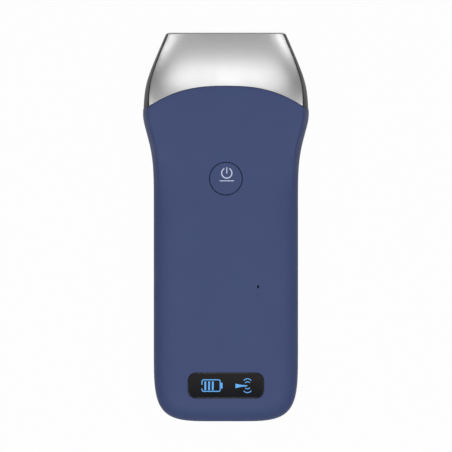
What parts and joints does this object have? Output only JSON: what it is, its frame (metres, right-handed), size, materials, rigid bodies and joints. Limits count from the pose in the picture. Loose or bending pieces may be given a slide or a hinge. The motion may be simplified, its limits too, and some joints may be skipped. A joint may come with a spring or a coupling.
{
  "type": "wireless ultrasound probe",
  "caption": "Flat paddle-shaped handheld scanning probe with a rounded grip, flared shoulders, a tapered metal-faced head with a flat lens, a round push button, a status window and a port flap.",
  "frame": {"origin": "middle of the bounding box on the rest face, under the probe lying on its back", "axes": "+Z out of the front face, +Y along the probe from its tail to its lens, +X to the right seen from the front with the lens up"},
  "size_m": [0.0666, 0.156, 0.02],
  "materials": {
    "blue_plastic": "satin slate blue",
    "graphite_plastic": "satin dark grey",
    "silver_metal": "satin, brushed",
    "lens_silicone": "satin grey",
    "dark_silicone": "satin",
    "flap_silicone": "satin slate blue",
    "smoked_window": "glossy, dark",
    "tape": "matt black",
    "steel": "bright",
    "insert_brass": "machined",
    "circuit_board": "green solder mask",
    "chip_plastic": "matt black",
    "chassis_metal": "machined",
    "cell_foil": "dull foil",
    "red_wire": "glossy",
    "connector_plastic": "ivory",
    "foam": "foam",
    "copper": "enamelled copper",
    "ferrite": "dull dark grey",
    "polyimide": "amber film",
    "pad": "soft grey-blue",
    "backing": "loaded epoxy",
    "piezo_ceramic": "fired",
    "matching": "epoxy"
  },
  "bodies": {
    "probe": {"front_cover": "blue_plastic", "rear_cover": "blue_plastic", "head_shell": "graphite_plastic", "front_fascia": "silver_metal", "rear_fascia": "silver_metal", "acoustic_lens": "lens_silicone", "head_gasket": "dark_silicone", "seam_gasket": "dark_silicone", "button_boot": "dark_silicone", "display_window": "smoked_window", "window_adhesive": "tape", "flap_anchor": "flap_silicone", "case_screws": "steel", "screw_plugs": "dark_silicone", "threaded_inserts": "insert_brass", "main_board": "circuit_board", "processor_chips": "chip_plastic", "shield_can": "steel", "wifi_module": "steel", "antenna": "polyimide", "antenna_lead": "dark_silicone", "switch_body": "steel", "sounder": "chip_plastic", "sounder_gasket": "dark_silicone", "chassis": "chassis_metal", "chassis_screws": "steel", "board_screws": "steel", "battery_cell": "cell_foil", "battery_board": "circuit_board", "battery_leads": "red_wire", "battery_connector": "connector_plastic", "battery_foam": "foam", "charging_coil": "copper", "ferrite_sheet": "ferrite", "coil_leads": "copper", "tail_board": "circuit_board", "tail_screws": "steel", "charger_chips": "chip_plastic", "usb_receptacle": "steel", "display_module": "chip_plastic", "display_flex": "polyimide", "power_flex": "polyimide", "afe_board": "circuit_board", "afe_chips": "chip_plastic", "afe_shield": "steel", "thermal_pad": "pad", "mezzanine_connector": "connector_plastic", "flex_connectors": "connector_plastic", "array_flex_front": "polyimide", "array_flex_rear": "polyimide", "array_frame": "chassis_metal", "backing_block": "backing", "piezo_array": "piezo_ceramic", "matching_layers": "matching"},
    "button": {"power_button": "blue_plastic"},
    "plunger": {"switch_plunger": "chip_plastic"},
    "flap": {"port_flap": "flap_silicone"}
  },
  "joints": [
    {"name": "button_press", "type": "slide", "parent": "probe", "child": "button", "axis": [0, 0, -1], "range_m": [0, 0.0004], "stiffness_N_per_m": 1500, "deforming": ["button_boot"]},
    {"name": "plunger_press", "type": "slide", "parent": "probe", "child": "plunger", "axis": [0, 0, -1], "range_m": [0, 0.0004], "stiffness_N_per_m": 20},
    {"name": "flap_hinge", "type": "hinge", "parent": "probe", "child": "flap", "pos_m": [-0.007, -0.0774, 0.01], "axis": [0, 0, -1], "range_deg": [0, 110], "stiffness_Nm_per_rad": 0.002}
  ],
  "couplings": [
    {"joint": "plunger_press", "follows": "button_press", "ratio": 1}
  ]
}
